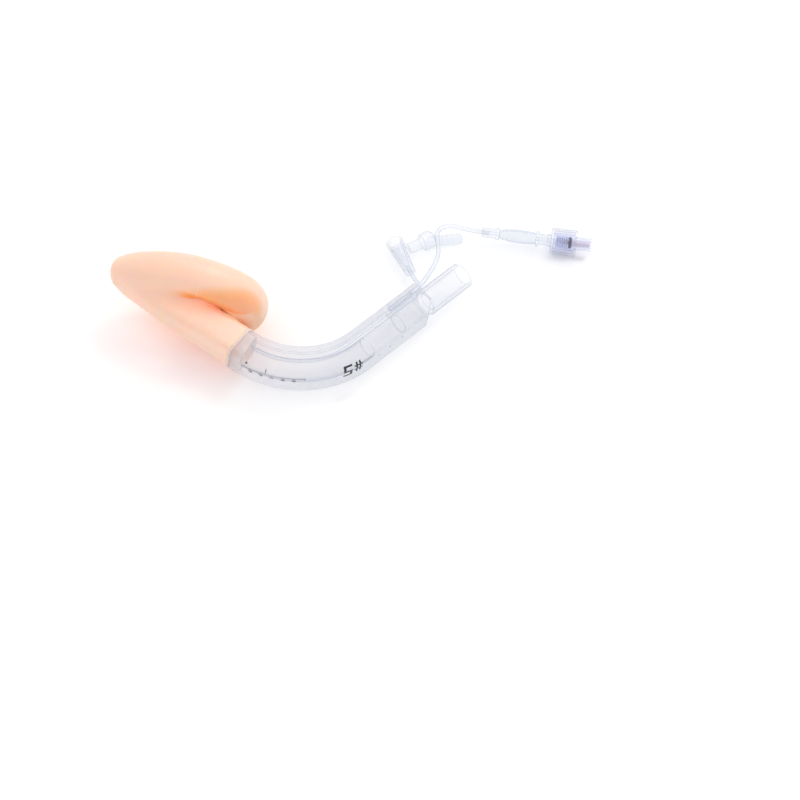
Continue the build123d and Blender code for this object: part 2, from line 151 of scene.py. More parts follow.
def clear_plastic(name, tint=(0.97, 0.975, 0.985), edge_shade_tint=(0.42, 0.47, 0.60), haze=(0.86, 0.88, 0.92),
                  base=0.10, gain=0.75, power=2.6, rough=0.12, grain=900.0, ripple=0.006):
    """Clear moulded plastic: nearly transparent face on, hazier towards its edges, where painted refraction shade also
    makes it darker and bluer, with a polished coat over it."""
    m, nt, out = material(name)
    p = node(nt, "ShaderNodeBsdfPrincipled")
    p.inputs["Roughness"].default_value = rough
    p.inputs["IOR"].default_value = 1.5
    p.inputs["Coat Weight"].default_value = 0.35
    p.inputs["Coat Roughness"].default_value = 0.05
    t = node(nt, "ShaderNodeBsdfTransparent")
    t.inputs["Color"].default_value = (*tint, 1)
    lw = node(nt, "ShaderNodeLayerWeight")
    lw.inputs["Blend"].default_value = 0.5
    pw = node(nt, "ShaderNodeMath", operation="POWER")
    pw.inputs[1].default_value = power
    nt.links.new(lw.outputs["Facing"], pw.inputs[0])
    # uneven haze in the plastic
    n = noise(nt, 60.0, 3.0, 0.6, 0.4)
    mr = node(nt, "ShaderNodeMapRange")
    mr.inputs["From Min"].default_value = 0.3
    mr.inputs["From Max"].default_value = 0.7
    mr.inputs["To Min"].default_value = base * 0.75
    mr.inputs["To Max"].default_value = base * 1.25
    nt.links.new(n.outputs["Fac"], mr.inputs["Value"])
    mul = node(nt, "ShaderNodeMath", operation="MULTIPLY_ADD")
    mul.inputs[1].default_value = gain
    mul.use_clamp = True
    nt.links.new(pw.outputs[0], mul.inputs[0])
    nt.links.new(mr.outputs[0], mul.inputs[2])
    # painted refraction shade: the colour runs from the haze tint face on to the darker, bluer edge tint at grazing
    # angles
    cr = ramp(nt, pw.outputs[0], [(0.0, haze), (0.35, tuple(0.5 * (a + b) for a, b in zip(haze, edge_shade_tint))), (0.9, edge_shade_tint)])
    nt.links.new(cr.outputs["Color"], p.inputs["Base Color"])
    g = noise(nt, grain, 2.0)
    b = bump(nt, g.outputs["Fac"], ripple, 0.0004)
    nt.links.new(b.outputs["Normal"], p.inputs["Normal"])
    # light passes on to the table
    lp = node(nt, "ShaderNodeLightPath")
    less = node(nt, "ShaderNodeMath", operation="MULTIPLY_ADD")
    less.inputs[1].default_value = -0.85
    less.inputs[2].default_value = 1.0
    nt.links.new(lp.outputs["Is Shadow Ray"], less.inputs[0])
    fac = node(nt, "ShaderNodeMath", operation="MULTIPLY")
    nt.links.new(mul.outputs[0], fac.inputs[0])
    nt.links.new(less.outputs[0], fac.inputs[1])
    mix = node(nt, "ShaderNodeMixShader")
    nt.links.new(fac.outputs[0], mix.inputs["Fac"])
    nt.links.new(t.outputs[0], mix.inputs[1])
    nt.links.new(p.outputs[0], mix.inputs[2])
    nt.links.new(mix.outputs[0], out.inputs["Surface"])
    return m


def silicone(name, fade=True):
    """Soft translucent silicone: pale peach where it is open to the light, with painted shade from ambient occlusion
    turning it orange in its folds, and a painted glow beside the neck; paler towards the thick end at the tube."""
    m, nt, out = material(name)
    p = node(nt, "ShaderNodeBsdfPrincipled")
    p.inputs["Subsurface Weight"].default_value = 1.0
    p.inputs["Subsurface Radius"].default_value = (1.0, 0.40, 0.20)
    p.inputs["Subsurface Scale"].default_value = 0.004
    p.inputs["IOR"].default_value = 1.41
    p.inputs["Coat Weight"].default_value = 0.12
    p.inputs["Coat Roughness"].default_value = 0.3
    # painted shade: ambient occlusion darkens the colour in folds and creases; a little noise adds random tone
    ao = node(nt, "ShaderNodeAmbientOcclusion", samples=8)
    ao.inputs["Distance"].default_value = 0.022
    n = noise(nt, 30.0, 3.0, 0.5, 0.2)
    add = node(nt, "ShaderNodeMath", operation="MULTIPLY_ADD")
    add.inputs[1].default_value = 0.06
    nt.links.new(n.outputs["Fac"], add.inputs[0])
    nt.links.new(ao.outputs["AO"], add.inputs[2])
    # painted glow: the fold beside the neck is painted deeper orange, standing in for light that comes through the
    # cuff's wall from behind
    tc0 = nt.nodes.new("ShaderNodeTexCoord")
    rel = node(nt, "ShaderNodeVectorMath", operation="SUBTRACT")
    rel.inputs[1].default_value = tuple(HEEL * MM)
    nt.links.new(tc0.outputs["Object"], rel.inputs[0])
    coords = []
    for axis in (M_DIR, E3, N_DIR):
        dd = node(nt, "ShaderNodeVectorMath", operation="DOT_PRODUCT")
        dd.inputs[1].default_value = tuple(Vector(axis) * 1000)
        nt.links.new(rel.outputs["Vector"], dd.inputs[0])
        coords.append(dd.outputs["Value"])

    def math_node(op, x, y, clamp=False):
        q = node(nt, "ShaderNodeMath", operation=op)
        q.use_clamp = clamp
        for i, value in enumerate((x, y)):
            if isinstance(value, (int, float)):
                q.inputs[i].default_value = value
            elif value is not None:
                nt.links.new(value, q.inputs[i])
        return q.outputs[0]

    def tent(value, mid, low, high):
        """0 at mid, 1 at a distance of low below it or high above it."""
        off_ = math_node("SUBTRACT", value, mid)
        return math_node("MAXIMUM", math_node("DIVIDE", off_, high), math_node("DIVIDE", off_, -low))

    uu = math_node("ABSOLUTE", coords[1], None)
    ds = tent(coords[0], 7.0, 22.0, 38.0)
    du = tent(uu, 12.6, 10.0, 13.5)
    dv = tent(coords[2], -9.5, 4.5, 14.0)
    r2 = math_node("ADD", math_node("ADD", math_node("MULTIPLY", ds, ds), math_node("MULTIPLY", du, du)),
                   math_node("MULTIPLY", dv, dv))
    painted_glow = math_node("SUBTRACT", 1.0, r2, True)
    # the painted shade and painted glow are lifted off the neck's own flank, which stays pale
    flank = math_node("MULTIPLY", math_node("SUBTRACT", 1.0, math_node("DIVIDE", math_node("SUBTRACT", uu, 10.7), 1.3), True),
                      math_node("DIVIDE", math_node("SUBTRACT", -6.5, coords[2]), 3.0, True))
    soft = node(nt, "ShaderNodeMapRange", interpolation_type="SMOOTHSTEP")
    soft.inputs["To Max"].default_value = 0.80
    nt.links.new(painted_glow, soft.inputs["Value"])
    painted_glow = math_node("MULTIPLY", soft.outputs[0], math_node("SUBTRACT", 1.0, flank))
    lift = math_node("MULTIPLY", math_node("SUBTRACT", 1.0, add.outputs[0]), math_node("MULTIPLY", flank, 0.75))
    shade = math_node("ADD", math_node("SUBTRACT", add.outputs[0], painted_glow), lift)
    # painted shade: the ramp paints shaded places deep orange and open places pale peach
    cr = ramp(nt, shade, [(0.0, (1.0, 0.32, 0.08)), (0.30, (1.0, 0.37, 0.12)), (0.50, (1.0, 0.43, 0.17)),
                          (0.70, (0.985, 0.50, 0.27)), (0.88, (0.97, 0.58, 0.40)), (1.0, (0.965, 0.635, 0.495))])
    col = cr.outputs["Color"]
    # fine seam round the cuff, where its two mouldings join
    off = math_node("ADD", coords[0], math_node("MULTIPLY", coords[2], 0.15))
    off = math_node("ABSOLUTE", math_node("SUBTRACT", off, 25.7), None)
    line = math_node("SUBTRACT", 1.0, math_node("DIVIDE", off, 0.28), True)
    side = math_node("MULTIPLY", math_node("SUBTRACT", uu, 10.2), 2.0, True)
    line = math_node("MULTIPLY", line, side)
    seam = node(nt, "ShaderNodeMix", data_type="RGBA")
    nt.links.new(math_node("MULTIPLY", line, 0.55), seam.inputs["Factor"])
    nt.links.new(col, seam.inputs[6])
    seam.inputs[7].default_value = (0.98, 0.74, 0.60, 1)
    col = seam.outputs[2]
    if fade:
        # distance from the tube's end, along the neck
        tc = nt.nodes.new("ShaderNodeTexCoord")
        j = at(-97.2, 42.1) * MM
        h = math.radians(80.0)
        dv = E1 * -math.cos(h) + E2 * math.sin(h)
        sub = node(nt, "ShaderNodeVectorMath", operation="SUBTRACT")
        sub.inputs[1].default_value = tuple(j)
        dot = node(nt, "ShaderNodeVectorMath", operation="DOT_PRODUCT")
        dot.inputs[1].default_value = tuple(dv)
        nt.links.new(tc.outputs["Object"], sub.inputs[0])
        nt.links.new(sub.outputs["Vector"], dot.inputs[0])
        # only near the neck: the straight distance from the tube's end
        leng = node(nt, "ShaderNodeVectorMath", operation="LENGTH")
        nt.links.new(sub.outputs["Vector"], leng.inputs[0])
        mr = node(nt, "ShaderNodeMapRange", interpolation_type="SMOOTHSTEP")
        mr.inputs["From Min"].default_value = 0.012
        mr.inputs["From Max"].default_value = 0.040
        mr.inputs["To Min"].default_value = 0.55
        mr.inputs["To Max"].default_value = 0.0
        nt.links.new(leng.outputs["Value"], mr.inputs["Value"])
        lim = node(nt, "ShaderNodeMapRange")
        lim.inputs["From Min"].default_value = 0.60
        lim.inputs["From Max"].default_value = 0.85
        nt.links.new(ao.outputs["AO"], lim.inputs["Value"])
        pr = node(nt, "ShaderNodeMath", operation="MULTIPLY")
        nt.links.new(mr.outputs[0], pr.inputs[0])
        nt.links.new(lim.outputs[0], pr.inputs[1])
        mixc = node(nt, "ShaderNodeMix", data_type="RGBA")
        nt.links.new(pr.outputs[0], mixc.inputs["Factor"])
        nt.links.new(col, mixc.inputs[6])
        mixc.inputs[7].default_value = (0.90, 0.68, 0.56, 1)
        col = mixc.outputs[2]
    nt.links.new(col, p.inputs["Base Color"])
    n2 = noise(nt, 240.0, 3.0, 0.6)
    mr2 = node(nt, "ShaderNodeMapRange")
    mr2.inputs["To Min"].default_value = 0.38
    mr2.inputs["To Max"].default_value = 0.50
    nt.links.new(n2.outputs["Fac"], mr2.inputs["Value"])
    nt.links.new(mr2.outputs[0], p.inputs["Roughness"])
    g = noise(nt, 2600.0, 2.0)
    b0 = bump(nt, line, 0.5, 0.0002)
    b1 = bump(nt, g.outputs["Fac"], 0.05, 0.0002)
    nt.links.new(b0.outputs["Normal"], b1.inputs["Normal"])
    nt.links.new(b1.outputs["Normal"], p.inputs["Normal"])
    # some light comes through to what lies below
    lp = node(nt, "ShaderNodeLightPath")
    t = node(nt, "ShaderNodeBsdfTransparent")
    t.inputs["Color"].default_value = (1.0, 0.93, 0.965, 1)
    k = node(nt, "ShaderNodeMath", operation="MULTIPLY")
    k.inputs[1].default_value = 0.87
    nt.links.new(lp.outputs["Is Shadow Ray"], k.inputs[0])
    mix = node(nt, "ShaderNodeMixShader")
    nt.links.new(k.outputs[0], mix.inputs["Fac"])
    nt.links.new(p.outputs[0], mix.inputs[1])
    nt.links.new(t.outputs[0], mix.inputs[2])
    nt.links.new(mix.outputs[0], out.inputs["Surface"])
    return m


def solid(name, low, high, rough=(0.3, 0.45), scale=300.0, metallic=0.0, ripple=0.05, trans=0.0, coat=0.0):
    """Opaque or tinted moulded material with mottled colour and roughness."""
    m, nt, out = material(name)
    p = node(nt, "ShaderNodeBsdfPrincipled")
    p.inputs["Metallic"].default_value = metallic
    p.inputs["Transmission Weight"].default_value = trans
    p.inputs["Coat Weight"].default_value = coat
    n = noise(nt, scale, 3.0, 0.6)
    cr = ramp(nt, n.outputs["Fac"], [(0.3, low), (0.7, high)])
    nt.links.new(cr.outputs["Color"], p.inputs["Base Color"])
    mr = node(nt, "ShaderNodeMapRange")
    mr.inputs["To Min"].default_value = rough[0]
    mr.inputs["To Max"].default_value = rough[1]
    nt.links.new(n.outputs["Fac"], mr.inputs["Value"])
    nt.links.new(mr.outputs[0], p.inputs["Roughness"])
    g = noise(nt, scale * 6, 2.0)
    b = bump(nt, g.outputs["Fac"], ripple, 0.0002)
    nt.links.new(b.outputs["Normal"], p.inputs["Normal"])
    nt.links.new(p.outputs[0], out.inputs["Surface"])
    return m


def assign(obj, mat):
    obj.data.materials.clear()
    obj.data.materials.append(mat)
    for poly in getattr(obj.data, "polygons", []):
        poly.material_index = 0


def new_object(name, verts, faces, smooth=True):
    me = bpy.data.meshes.new(name)
    me.from_pydata([tuple(v) for v in verts], [], faces)
    me.update()
    ob = bpy.data.objects.new(name, me)
    bpy.context.scene.collection.objects.link(ob)
    if smooth:
        me.polygons.foreach_set("use_smooth", [True] * len(me.polygons))
    return ob


def bake_modifiers(ob):
    dg = bpy.context.evaluated_depsgraph_get()
    me = bpy.data.meshes.new_from_object(ob.evaluated_get(dg))
    old = ob.data
    ob.modifiers.clear()
    ob.data = me
    bpy.data.meshes.remove(old)


def shade_by_angle(ob, deg=32):
    me = ob.data
    bm = bmesh.new()
    bm.from_mesh(me)
    bmesh.ops.remove_doubles(bm, verts=bm.verts, dist=1e-6)
    for f in bm.faces:
        f.smooth = True
    for e in bm.edges:
        if len(e.link_faces) == 2:
            e.smooth = e.calc_face_angle(0) < math.radians(deg)
    bm.to_mesh(me)
    bm.free()
    me.update()


# ---------------------------------------------------------------------------
# materials
# ---------------------------------------------------------------------------
M_TUBE = clear_plastic("tube_pvc", tint=(0.98, 0.98, 0.985), base=0.15, gain=0.62, power=2.6, rough=0.16, haze=(0.74, 0.75, 0.80), edge_shade_tint=(0.50, 0.55, 0.66), ripple=0.0)
M_LUMEN = clear_plastic("tube_lumen", tint=(0.985, 0.985, 0.985), base=0.03, gain=0.95, power=2.2, rough=0.16, haze=(0.74, 0.77, 0.85), edge_shade_tint=(0.14, 0.20, 0.38), ripple=0.0)
M_BONDED = clear_plastic("tube_bonded_wall", tint=(0.995, 0.995, 0.995), base=0.005, gain=0.30, power=2.6, rough=0.2, haze=(0.84, 0.86, 0.92), edge_shade_tint=(0.45, 0.51, 0.66), ripple=0.0)
M_SMALL = clear_plastic("tube_small_lumen", tint=(0.99, 0.99, 0.99), base=0.03, gain=0.95, power=1.6, rough=0.2, haze=(0.74, 0.78, 0.88), edge_shade_tint=(0.24, 0.33, 0.55), ripple=0.0)
M_CONN = clear_plastic("connector_plastic", tint=(0.985, 0.985, 0.99), base=0.025, gain=1.0, power=2.6, rough=0.06, haze=(0.86, 0.88, 0.93), edge_shade_tint=(0.16, 0.22, 0.36), ripple=0.0)
M_CONN_BORE = clear_plastic("connector_bore", tint=(0.985, 0.985, 0.99), base=0.02, gain=0.8, power=2.6, rough=0.06, haze=(0.86, 0.88, 0.93), edge_shade_tint=(0.28, 0.35, 0.50), ripple=0.0)
M_BITE = clear_plastic("bite_pvc", tint=(0.995, 0.995, 0.995), base=0.01, gain=0.20, power=2.4, rough=0.2, edge_shade_tint=(0.50, 0.55, 0.68), ripple=0.0)
M_BEAD = clear_plastic("bond_bead", tint=(0.98, 0.98, 0.99), base=0.72, gain=0.25, power=1.5, rough=0.12, haze=(0.97, 0.97, 0.98), edge_shade_tint=(0.74, 0.77, 0.83), ripple=0.0)
M_LINE = clear_plastic("line_pvc", base=0.20, gain=0.75, power=1.7, rough=0.18, haze=(0.88, 0.91, 0.95), edge_shade_tint=(0.36, 0.44, 0.60))
M_SLEEVE = clear_plastic("sleeve_pvc", base=0.07, gain=0.80, power=2.0, rough=0.15, haze=(0.86, 0.89, 0.94), edge_shade_tint=(0.34, 0.42, 0.58))
M_BALLOON = clear_plastic("balloon_film", base=0.05, gain=0.80, power=2.2, rough=0.10, haze=(0.86, 0.89, 0.94), edge_shade_tint=(0.34, 0.42, 0.58))
M_SHROUD = clear_plastic("shroud_plastic", tint=(0.985, 0.985, 0.995), base=0.02, gain=0.80, power=2.4, rough=0.08, haze=(0.84, 0.86, 0.93), edge_shade_tint=(0.32, 0.35, 0.52))
M_PORT = clear_plastic("port_pvc", base=0.09, gain=0.65, power=2.0, rough=0.22, haze=(0.88, 0.90, 0.94), edge_shade_tint=(0.44, 0.49, 0.60))
M_BLUE = clear_plastic("valve_blue", tint=(0.965, 0.97, 0.998), edge_shade_tint=(0.36, 0.40, 0.74), haze=(0.74, 0.77, 0.96), base=0.05, gain=0.45, power=1.8, rough=0.15)
M_SPIGOT = clear_plastic("spigot_silicone", tint=(1.0, 0.97, 0.95), edge_shade_tint=(0.96, 0.82, 0.74), haze=(1.0, 0.91, 0.86), base=0.46, gain=0.25, power=2.0, rough=0.3)
M_MASK = silicone("mask_silicone")
M_SEAL = solid("seal_rubber", (0.02, 0.025, 0.05), (0.04, 0.05, 0.09), (0.5, 0.7))
M_STEM = solid("plunger_plastic", (0.72, 0.62, 0.66), (0.80, 0.71, 0.74), (0.35, 0.5))
M_SPRING = solid("spring_wire", (0.54, 0.57, 0.72), (0.66, 0.69, 0.82), (0.25, 0.4), metallic=0.5)
M_INK = solid("print_ink", (0.010, 0.010, 0.014), (0.03, 0.03, 0.035), (0.4, 0.6), ripple=0.02)

# ---------------------------------------------------------------------------
# inflation line: its route is the solid's route
# ---------------------------------------------------------------------------
LINE_ROUTE = [(63.93, 2.72, 16.9), (69.44, 7.96, 16.9), (75.55, 21.65, 13.3), (79.55, 32.65, 12.0),
              (79.25, 42.35, 11.4), (78.45, 51.65, 10.6), (85.15, 57.15, 9.3), (98.62, 54.2, 7.25),
              (108.0, 52.73, 7.25)]
curve = bpy.data.curves.new("inflation_hose", "CURVE")
curve.dimensions = "3D"
sp = curve.splines.new("NURBS")
sp.points.add(len(LINE_ROUTE) - 1)
for pt, co in zip(sp.points, LINE_ROUTE):
    pt.co = (co[0] * MM, co[1] * MM, co[2] * MM, 1)
sp.order_u = 3
sp.use_endpoint_u = True
curve.resolution_u = 16
curve.bevel_depth = 1.225 * MM
curve.bevel_resolution = 6
curve.use_fill_caps = True
hose = bpy.data.objects.new("inflation_hose", curve)
bpy.context.scene.collection.objects.link(hose)
curve.materials.append(M_LINE)
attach(hose, "airway")
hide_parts("inflation_line")

# ---------------------------------------------------------------------------
# mask: bowl and cuff flow into one soft skin.  It is a smooth union of an
# inflated ring, the neck that carries the tube on, and the back of the bowl,
# hollowed by the bowl's cavity and the lumen.
# Mask axes: s from the heel to the tip, u sideways, v towards the opening.
# ---------------------------------------------------------------------------
RING_S, RING_U, RING_EGG = 72.8, 17.0, 0.17
RING_R = [(0, 12.5, 10.1), (80, 11.3, 8.8), (180, 5.6, 4.7)]
HEEL_AB = np.array([-76.8, 57.05])
M_AB = np.array([math.cos(MD), math.sin(MD)])
N_AB = np.array([math.sin(MD), -math.cos(MD)])
# centre (a, b), heading, depth, width, corner
NECK = [(-97.2, 42.1, 80.0, 19.6, 21.2, 5.2), (-99.6, 53.0, 76.0, 19.4, 21.2, 5.2),
        (-103.0, 65.0, 71.0, 19.0, 20.8, 5.4), (-107.4, 77.6, 68.0, 17.8, 19.8, 6.0),
        (-111.8, 88.8, 74.0, 14.6, 18.0, 6.0), (-115.0, 99.4, 82.0, 10.8, 15.4, 4.8),
        (-116.9, 108.0, 86.0, 6.6, 12.0, 3.2)]
DOME = [(-4.0, 4.0), (5.0, 7.5), (12.0, 9.0), (20.0, 10.2), (30.0, 11.2), (40.0, 11.8),
        (50.0, 12.0), (58.0, 11.4), (64.0, 10.0), (68.8, 7.4), (73.0, 4.0)]


def interp(x, table, col):
    xs = [row[0] for row in table]
    ys = [row[col] for row in table]
    return np.interp(x, xs, ys)


def smooth_min(a, b, k):
    h = np.clip(0.5 + 0.5 * (b - a) / k, 0, 1)
    return b + (a - b) * h - k * h * (1 - h)


def oval(x, y, rx, ry):
    """Signed distance, near enough, to an ellipse."""
    q = np.sqrt((x / rx) ** 2 + (y / ry) ** 2) + 1e-9
    g = np.sqrt((x / rx ** 2) ** 2 + (y / ry ** 2) ** 2) + 1e-9
    return q * (q - 1) / g


def half_width(s):
    t = np.arccos(np.clip(1 - 2 * s / RING_S, -1, 1))
    return RING_U * np.sin(t) * (1 + RING_EGG * np.cos(t))


def mask_field(s, u, v):
    # ring
    deg = np.linspace(0, 180, 181)
    t = np.radians(deg)
    rs = RING_S / 2 * (1 - np.cos(t))
    ru = RING_U * np.sin(t) * (1 + RING_EGG * np.cos(t))
    k = (3 * np.minimum(np.maximum((deg - 0) / 80, 0), 1) ** 2 - 2 * np.minimum(np.maximum(deg / 80, 0), 1) ** 3)
    k2 = np.minimum(np.maximum((deg - 80) / 100, 0), 1)
    k2 = k2 * k2 * (3 - 2 * k2)
    rv = RING_R[0][1] + (RING_R[1][1] - RING_R[0][1]) * k + (RING_R[2][1] - RING_R[1][1]) * k2
    rw = RING_R[0][2] + (RING_R[1][2] - RING_R[0][2]) * k + (RING_R[2][2] - RING_R[1][2]) * k2
    best = np.full(s.shape, 1e9)
    bv = np.ones(s.shape)
    bw = np.ones(s.shape)
    for i in range(len(deg)):
        d = (s - rs[i]) ** 2 + (u - ru[i]) ** 2
        m = d < best
        best = np.where(m, d, best)
        bv = np.where(m, rv[i], bv)
        bw = np.where(m, rw[i], bw)
    ring = oval(np.sqrt(best), v, bw, bv)
    # neck, in the airway's own axes
    a = HEEL_AB[0] + M_AB[0] * s + N_AB[0] * v
    b = HEEL_AB[1] + M_AB[1] * s + N_AB[1] * v
    rows = []
    table = np.array(NECK)
    for x in np.linspace(0, len(NECK) - 1, 49):
        i = min(int(x), len(NECK) - 2)
        f = x - i
        p0, p1, p2, p3 = (table[max(i - 1, 0)], table[i], table[i + 1], table[min(i + 2, len(NECK) - 1)])
        rows.append(0.5 * (2 * p1 + (p2 - p0) * f + (2 * p0 - 5 * p1 + 4 * p2 - p3) * f * f
                           + (3 * p1 - p0 - 3 * p2 + p3) * f ** 3))
    best = np.full(s.shape, 1e9)
    pick = np.zeros(s.shape, int)
    rows = np.array(rows)
    for i, row in enumerate(rows):
        d = (a - row[0]) ** 2 + (b - row[1]) ** 2
        # nearest section along the neck, by its heading
        h = math.radians(row[2])
        along_d = np.abs((a - row[0]) * math.cos(h) - (b - row[1]) * math.sin(h))
        d = along_d ** 2 + 0.02 * d
        m = d < best
        best = np.where(m, d, best)
        pick = np.where(m, i, pick)
    h = np.radians(rows[pick, 2])
    x = (a - rows[pick, 0]) * np.sin(h) + (b - rows[pick, 1]) * np.cos(h)
    z = -((a - rows[pick, 0]) * np.cos(h) - (b - rows[pick, 1]) * np.sin(h))
    hx = rows[pick, 3] / 2
    hc = rows[pick, 4] / 2
    r = np.minimum(rows[pick, 5], np.minimum(hx, hc) * 0.98)
    qx = np.abs(x) - (hx - r)
    qc = np.abs(u) - (hc - r)
    box = np.sqrt(np.maximum(qx, 0) ** 2 + np.maximum(qc, 0) ** 2) + np.minimum(np.maximum(qx, qc), 0) - r
    last = pick == len(rows) - 1
    over = np.where(last, np.maximum(z, 0), 0)
    neck = np.where(over > 0, np.sqrt(np.maximum(box + 2, 0) ** 2 + over ** 2) - 2, box)
    # back of the bowl
    w = np.maximum(half_width(s), 1.0)
    depth = interp(s, DOME, 1)
    dome = oval(u, v, w, depth)
    dome = np.maximum(dome, np.maximum(2.0 - s, s - (RING_S - 2.0)))
    far = np.clip((s - 20.0) / 28.0, 0, 1)
    far = far * far * (3 - 2 * far)
    bowl = smooth_min(neck, dome, 2.5 + 4.5 * far)
    bowl = np.maximum(bowl, v + 1.0)
    body = smooth_min(ring, bowl, 1.6 + 8.4 * far)
    # cavity of the bowl
    wi = np.maximum(half_width(s) - 3.2, 0.6)
    di = np.maximum(depth - 2.4, 0.6)
    cav = oval(u, v, wi, di)
    cav = np.maximum(cav, np.maximum(15.0 - s, s - 66.0))
    # lumen, straight on from the tube
    h = math.radians(80.0)
    ja, jb = -97.2 - 1.3 * math.sin(h), 42.1 - 1.3 * math.cos(h)
    x = (a - ja) * math.sin(h) + (b - jb) * math.cos(h)
    z = -((a - ja) * math.cos(h) - (b - jb) * math.sin(h))
    qc = np.maximum(np.abs(u) - 1.0, 0)
    slot = np.sqrt(x ** 2 + qc ** 2) - 5.7
    slot = np.maximum(slot, z - 33.0)
    hollow = smooth_min(cav, slot, 1.5)
    body = -smooth_min(-body, hollow, 1.2)
    # square end at the tube
    h = math.radians(80.0)
    z = -((a + 97.2) * math.cos(h) - (b - 42.1) * math.sin(h))
    near = (b < 60) & (a < -85)
    body = np.where(near & (v < -13), np.maximum(body, -z), body)
    return body


def surface(field, low, step):
    """Quads on the zero surface of a field on a grid, one vertex in each cell that it crosses."""
    nx, ny, nz = field.shape
    inside = field < 0
    count = np.zeros((nx - 1, ny - 1, nz - 1), int)
    for i in (0, 1):
        for j in (0, 1):
            for k in (0, 1):
                count += inside[i:nx - 1 + i, j:ny - 1 + j, k:nz - 1 + k]
    active = (count > 0) & (count < 8)
    index = -np.ones(active.shape, int)
    index[active] = np.arange(active.sum())
    total = np.zeros(active.shape + (3,))
    hits = np.zeros(active.shape)
    for axis in range(3):
        for p in (0, 1):
            for q in (0, 1):
                o = [0, 0, 0]
                o[(axis + 1) % 3] = p
                o[(axis + 2) % 3] = q
                e = list(o)
                e[axis] = 1
                f0 = field[o[0]:nx - 1 + o[0], o[1]:ny - 1 + o[1], o[2]:nz - 1 + o[2]]
                f1 = field[e[0]:nx - 1 + e[0], e[1]:ny - 1 + e[1], e[2]:nz - 1 + e[2]]
                cross = (f0 < 0) != (f1 < 0)
                tt = np.where(cross, f0 / np.where(cross, f0 - f1, 1), 0)
                for c in range(3):
                    total[..., c] += np.where(cross, o[c] + (tt if c == axis else 0), 0)
                hits += cross
    cells = np.argwhere(active)
    verts = low + step * (cells + total[active] / hits[active][:, None])
    faces = []
    for axis in range(3):
        n = [nx, ny, nz]
        sl0 = [slice(0, m) for m in n]
        sl1 = [slice(0, m) for m in n]
        sl0[axis] = slice(0, n[axis] - 1)
        sl1[axis] = slice(1, n[axis])
        a0 = inside[tuple(sl0)]
        a1 = inside[tuple(sl1)]
        ids = np.argwhere(a0 != a1)
        b, c = (axis + 1) % 3, (axis + 2) % 3
        ids = ids[(ids[:, b] > 0) & (ids[:, c] > 0) & (ids[:, b] < n[b] - 1) & (ids[:, c] < n[c] - 1)]
        flip = ~a0[tuple(ids.T)]
        quad = []
        for db, dc in ((-1, -1), (0, -1), (0, 0), (-1, 0)):
            cell = ids.copy()
            cell[:, b] += db
            cell[:, c] += dc
            quad.append(index[tuple(cell.T)])
        quad = np.stack(quad, 1)
        quad[flip] = quad[flip][:, ::-1]
        faces.append(quad)
    return verts, np.concatenate(faces)


STEP = 0.8
low = np.array([-14.4, -29.6, -40.0])
shape = (122, 75, 71)
gs, gu, gv = np.meshgrid(*(low[i] + STEP * np.arange(shape[i]) for i in range(3)), indexing="ij")
field = mask_field(gs, np.abs(gu), gv)
verts, faces = surface(field, low, STEP)
placed = (np.array(HEEL)[None] + verts[:, :1] * np.array(M_DIR)[None] + verts[:, 1:2] * np.array(E3)[None]
         + verts[:, 2:3] * np.array(N_DIR)[None]) * MM
mask = new_object("mask_skin", placed.tolist(), faces.tolist())
sm = mask.modifiers.new("smooth", "SMOOTH")
sm.factor = 0.5
sm.iterations = 6
bake_modifiers(mask)
assign(mask, M_MASK)
mask.data.polygons.foreach_set("use_smooth", [True] * len(mask.data.polygons))
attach(mask, "airway")


# spigot: the end of the neck inside the tube
def rounded(hx, hc, r, n=6):
    out = []
    for cx, cc, a0 in ((hx - r, hc - r, 0), (-hx + r, hc - r, 90), (-hx + r, -hc + r, 180), (hx - r, -hc + r, 270)):
        for i in range(n + 1):
            g = math.radians(a0 + 90 * i / n)
            out.append((cx + r * math.cos(g), cc + r * math.sin(g)))
    return out


def bend_ring(deg, loop):
    t = math.radians(deg)
    a, b = -47 - 51 * math.sin(t), 51 * (1 - math.cos(t))
    return [at(a + x * math.sin(t), b + x * math.cos(t), c) * MM for x, c in loop]


outer = rounded(19.6 / 2 - 1.6, 21.2 / 2 - 1.6, 3.6)
inner = [(x - 1.3, c) for x, c in rounded(5.7, 6.7, 5.6)]
loops = [bend_ring(80.4, inner), bend_ring(80.4, outer)]
for k in range(1, 5):
    loops.append(bend_ring(80.4 - 6.9 * k / 4, outer))
loops.append(bend_ring(73.4, [(x * 0.97, c * 0.97) for x, c in outer]))
loops.append(bend_ring(73.4, inner))
for k in range(3, -1, -1):
    loops.append(bend_ring(80.4 - 7.0 * k / 4, inner))
vs = [p for l in loops for p in l]
n = len(outer)
fs = []
for k in range(len(loops) - 1):
    for i in range(n):
        j2 = (i + 1) % n
        fs.append((k * n + i, k * n + j2, (k + 1) * n + j2, (k + 1) * n + i))
spigot = new_object("mask_spigot", vs, fs)
assign(spigot, M_SPIGOT)
shade_by_angle(spigot, 50)
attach(spigot, "airway")
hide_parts("cuff", "mask_bowl")

# ---------------------------------------------------------------------------
# airway tube: the solid's own sections, with the walls of its lumens as
# separate surfaces, so that each has its own finish
# ---------------------------------------------------------------------------
TURN = math.radians(80.0)
POCKET = 6.0 / 51.0
END_U = 47 + 51 * TURN
POCKET_U = END_U - 6.0


def centre(u):
    """Centre of the tube at a distance from its machine end, and its turn."""
    if u <= 47:
        return -u, 0.0, 0.0
    t = (u - 47) / 51
    return -47 - 51 * math.sin(t), 51 * (1 - math.cos(t)), t


def station(u, outline):
    a, b, t = centre(u)
    out = []
    for x, c in outline:
        back = max(0.0, -4.0 - x) * 6.2 / 5.8 if u == 0 else 0.0
        out.append(at(a - back + x * math.sin(t), b + x * math.cos(t), c) * MM)
    return out


